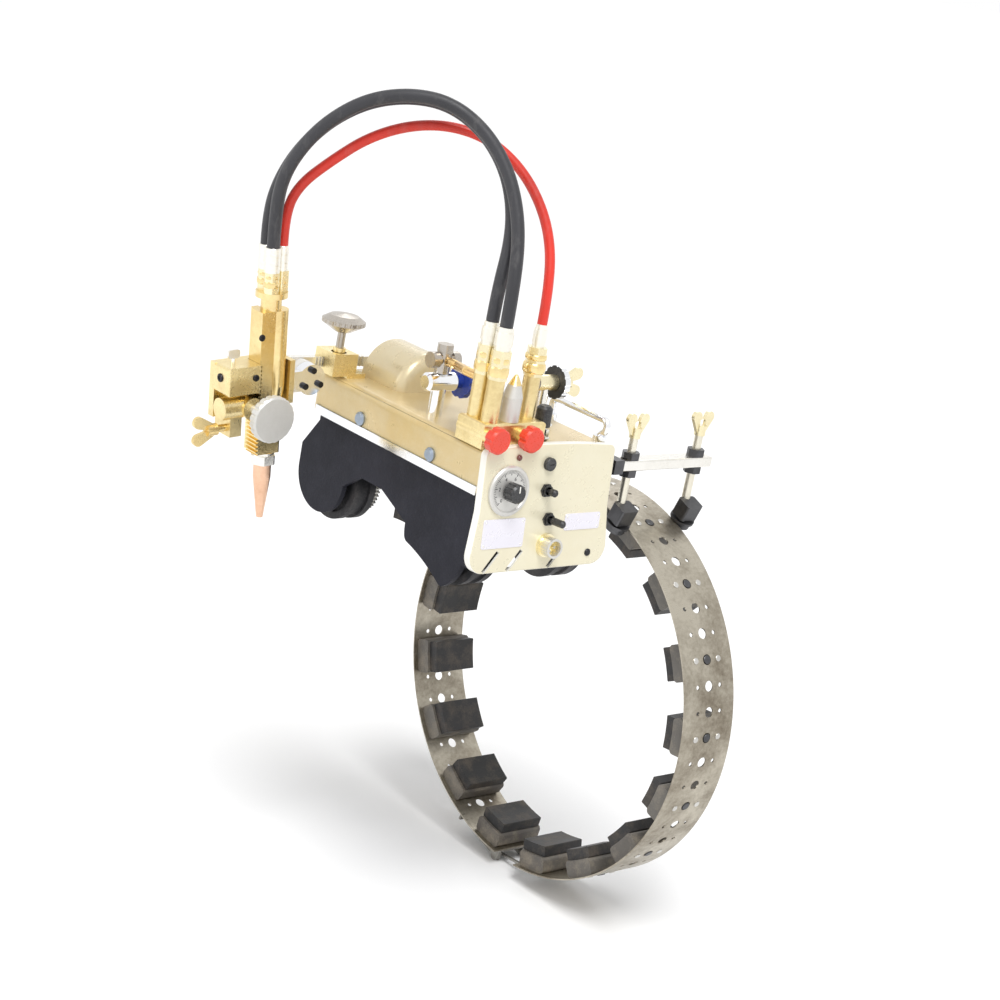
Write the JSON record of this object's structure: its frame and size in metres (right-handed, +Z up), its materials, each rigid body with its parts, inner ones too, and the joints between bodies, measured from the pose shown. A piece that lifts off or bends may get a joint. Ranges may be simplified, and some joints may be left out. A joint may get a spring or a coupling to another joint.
{
  "type": "magnetic pipe gas cutter",
  "caption": "Wheeled gas cutter that creeps round a pipe along a magnetic band, with a rack-fed torch on a tilting cross arm, valves, hoses and roller guides.",
  "frame": {"origin": "on the axis of the pipe that the band clamps, in the band's middle plane", "axes": "+X runs along the pipe from the torch towards the band, +Z points up through the machine on top of the pipe, and the control panel faces -Y"},
  "size_m": [0.5734, 0.477, 0.9284],
  "materials": {
    "band_steel": "worn rolled steel",
    "yoke_grey": "grey-brown coating",
    "magnet_black": "black coated magnet",
    "dark_steel": "blackened steel",
    "brass": "machined brass",
    "chassis_black": "satin black",
    "casing_gold": "pale champagne gold lacquer",
    "panel_cream": "pale cream gold lacquer",
    "bright_metal": "bright plated",
    "plain_steel": "plain steel",
    "board_green": "circuit laminate",
    "switch_black": "black moulded",
    "knob_red": "red moulded",
    "knob_blue": "blue moulded",
    "copper": "bare copper",
    "hose_black": "black hose",
    "hose_red": "red hose"
  },
  "bodies": {
    "band": {"track_band": "band_steel", "foot_yokes": "yoke_grey", "foot_magnets": "magnet_black", "foot_bolts": "dark_steel", "band_rivets": "brass", "latch_plates": "band_steel"},
    "latch": {"latch_lever": "band_steel"},
    "bail": {"latch_bail": "band_steel"},
    "chassis": {"chassis_frame": "chassis_black", "casing_cover": "casing_gold", "motor_cover": "casing_gold", "case_trim": "bright_metal", "belly_magnet": "magnet_black", "gear_motor": "plain_steel", "control_board": "board_green", "front_panel": "panel_cream", "switch_bodies": "switch_black", "panel_fittings": "bright_metal", "gas_manifold": "brass", "union_nuts": "brass", "hose_ferrules": "bright_metal", "inlet_valve": "bright_metal", "cross_pipe": "brass", "clamp_post": "bright_metal", "carrying_rod": "bright_metal", "slide_bracket": "brass", "guide_bracket": "chassis_black", "guide_bar": "bright_metal", "rear_black_hose": "hose_black", "front_black_hose": "hose_black", "red_hose": "hose_red"},
    "front_wheels": {"front_wheelset": "chassis_black"},
    "rear_wheels": {"rear_wheelset": "chassis_black", "axle_gear": "plain_steel"},
    "pinion": {"drive_pinion": "plain_steel"},
    "speed_control": {"speed_knob": "switch_black"},
    "power_lever": {"power_toggle": "switch_black"},
    "reverse_lever": {"reverse_toggle": "switch_black"},
    "oxygen_control": {"oxygen_knob": "knob_red"},
    "fuel_control": {"fuel_knob": "knob_red"},
    "inlet_control": {"blue_knob": "knob_blue"},
    "clamp_control": {"clamp_wheel": "switch_black"},
    "clutch": {"clutch_lever": "dark_steel"},
    "cross_arm": {"cross_bar": "bright_metal"},
    "cross_control": {"cross_knob": "plain_steel"},
    "tilt_head": {"tilt_plate": "bright_metal", "torch_holder": "brass"},
    "torch": {"nozzle": "copper", "torch_barrel": "brass", "torch_rack": "brass", "torch_unions": "bright_metal"},
    "lift_control": {"lift_knob": "plain_steel"},
    "holder_clamp": {"holder_wing": "brass"},
    "thumb_clamp": {"holder_thumb": "bright_metal"},
    "left_arm": {"left_guide_arm": "dark_steel"},
    "right_arm": {"right_guide_arm": "dark_steel"},
    "left_roller": {"left_guide_roller": "dark_steel"},
    "right_roller": {"right_guide_roller": "dark_steel"},
    "left_wing": {"left_guide_wing": "brass"},
    "right_wing": {"right_guide_wing": "brass"}
  },
  "joints": [
    {"name": "travel", "type": "hinge", "parent": "band", "child": "chassis", "pos_m": [0, 0, 0], "axis": [1, 0, 0], "continuous": true},
    {"name": "front_roll", "type": "hinge", "parent": "chassis", "child": "front_wheels", "pos_m": [-0.2315, -0.104, 0.22459], "axis": [1, 0, 0], "continuous": true},
    {"name": "rear_roll", "type": "hinge", "parent": "chassis", "child": "rear_wheels", "pos_m": [-0.2315, 0.112, 0.22071], "axis": [1, 0, 0], "continuous": true},
    {"name": "pinion_spin", "type": "hinge", "parent": "chassis", "child": "pinion", "pos_m": [-0.2315, 0.12086, 0.27093], "axis": [1, 0, 0], "continuous": true},
    {"name": "speed_turn", "type": "hinge", "parent": "chassis", "child": "speed_control", "pos_m": [-0.2865, -0.15345, 0.29714], "axis": [0, -0.9968, 0.0802], "range_deg": [-135, 135]},
    {"name": "power_switch", "type": "hinge", "parent": "chassis", "child": "power_lever", "pos_m": [-0.2345, -0.15361, 0.29514], "axis": [1, 0, 0], "range_deg": [-12, 12]},
    {"name": "reverse_switch", "type": "hinge", "parent": "chassis", "child": "reverse_lever", "pos_m": [-0.2265, -0.1561, 0.26425], "axis": [1, 0, 0], "range_deg": [-12, 12]},
    {"name": "oxygen_valve", "type": "hinge", "parent": "chassis", "child": "oxygen_control", "pos_m": [-0.3155, -0.1405, 0.352], "axis": [0, -1, 0], "range_deg": [0, 540]},
    {"name": "fuel_valve", "type": "hinge", "parent": "chassis", "child": "fuel_control", "pos_m": [-0.2705, -0.1405, 0.352], "axis": [0, -1, 0], "range_deg": [0, 540]},
    {"name": "inlet_turn", "type": "hinge", "parent": "chassis", "child": "inlet_control", "pos_m": [-0.2725, -0.026, 0.374], "axis": [1, 0, 0], "range_deg": [0, 540]},
    {"name": "clamp_turn", "type": "hinge", "parent": "chassis", "child": "clamp_control", "pos_m": [-0.182, -0.08, 0.388], "axis": [1, 0, 0], "range_deg": [0, 720]},
    {"name": "clutch_throw", "type": "hinge", "parent": "chassis", "child": "clutch", "pos_m": [-0.2275, -0.122, 0.3485], "axis": [1, 0, 0], "range_deg": [-25, 25]},
    {"name": "cross_slide", "type": "slide", "parent": "chassis", "child": "cross_arm", "axis": [1, 0, 0], "range_m": [-0.035, 0.012], "deforming": ["rear_black_hose", "front_black_hose", "red_hose"]},
    {"name": "cross_feed", "type": "hinge", "parent": "chassis", "child": "cross_control", "pos_m": [-0.318, 0.11825, 0.3513], "axis": [0, 0, 1], "range_deg": [-110, 300]},
    {"name": "torch_tilt", "type": "hinge", "parent": "cross_arm", "child": "tilt_head", "pos_m": [-0.362, 0.112, 0.339], "axis": [0, 1, 0], "range_deg": [-25, 45], "deforming": ["rear_black_hose", "front_black_hose", "red_hose"]},
    {"name": "torch_lift", "type": "slide", "parent": "tilt_head", "child": "torch", "axis": [-0.1125, 0, 0.9937], "range_m": [-0.008, 0.04], "deforming": ["rear_black_hose", "front_black_hose", "red_hose"]},
    {"name": "lift_feed", "type": "hinge", "parent": "tilt_head", "child": "lift_control", "pos_m": [-0.44111, 0.1, 0.31245], "axis": [0, 1, 0], "range_deg": [-330, 70]},
    {"name": "holder_screw", "type": "hinge", "parent": "tilt_head", "child": "holder_clamp", "pos_m": [-0.46259, 0.1, 0.28889], "axis": [0.9937, 0, 0.1125], "range_deg": [0, 360]},
    {"name": "thumb_screw", "type": "hinge", "parent": "tilt_head", "child": "thumb_clamp", "pos_m": [-0.46503, 0.1, 0.35705], "axis": [-0.1125, 0, 0.9937], "range_deg": [0, 360]},
    {"name": "left_arm_slide", "type": "slide", "parent": "chassis", "child": "left_arm", "axis": [1, 0, 0], "range_m": [-0.008, 0]},
    {"name": "right_arm_slide", "type": "slide", "parent": "chassis", "child": "right_arm", "axis": [1, 0, 0], "range_m": [0, 0.008]},
    {"name": "left_roller_spin", "type": "hinge", "parent": "left_arm", "child": "left_roller", "pos_m": [-0.0513, -0.085, 0.2215], "axis": [0, -0.3583, 0.9336], "continuous": true},
    {"name": "right_roller_spin", "type": "hinge", "parent": "right_arm", "child": "right_roller", "pos_m": [0.0513, -0.085, 0.2215], "axis": [0, -0.3583, 0.9336], "continuous": true},
    {"name": "left_wing_turn", "type": "hinge", "parent": "left_arm", "child": "left_wing", "pos_m": [-0.0513, -0.085, 0.3362], "axis": [0, 0, 1], "range_deg": [0, 360]},
    {"name": "right_wing_turn", "type": "hinge", "parent": "right_arm", "child": "right_wing", "pos_m": [0.0513, -0.085, 0.3362], "axis": [0, 0, 1], "range_deg": [0, 360]},
    {"name": "latch_open", "type": "hinge", "parent": "band", "child": "latch", "pos_m": [0, 0.034, -0.252], "axis": [1, 0, 0], "range_deg": [-80, 0]},
    {"name": "bail_swing", "type": "hinge", "parent": "latch", "child": "bail", "pos_m": [0, 0.043, -0.25083], "axis": [1, 0, 0], "range_deg": [0, 80]}
  ],
  "couplings": [
    {"joint": "front_roll", "follows": "travel", "ratio": 4.6182},
    {"joint": "rear_roll", "follows": "travel", "ratio": 4.6182},
    {"joint": "pinion_spin", "follows": "travel", "ratio": -11.084},
    {"joint": "left_roller_spin", "follows": "travel", "ratio": 19.771},
    {"joint": "right_roller_spin", "follows": "travel", "ratio": -19.771},
    {"joint": "cross_feed", "follows": "cross_slide", "rad_per_m": -142.86},
    {"joint": "lift_feed", "follows": "torch_lift", "rad_per_m": -142.86},
    {"joint": "bail_swing", "follows": "latch_open", "ratio": -1}
  ]
}
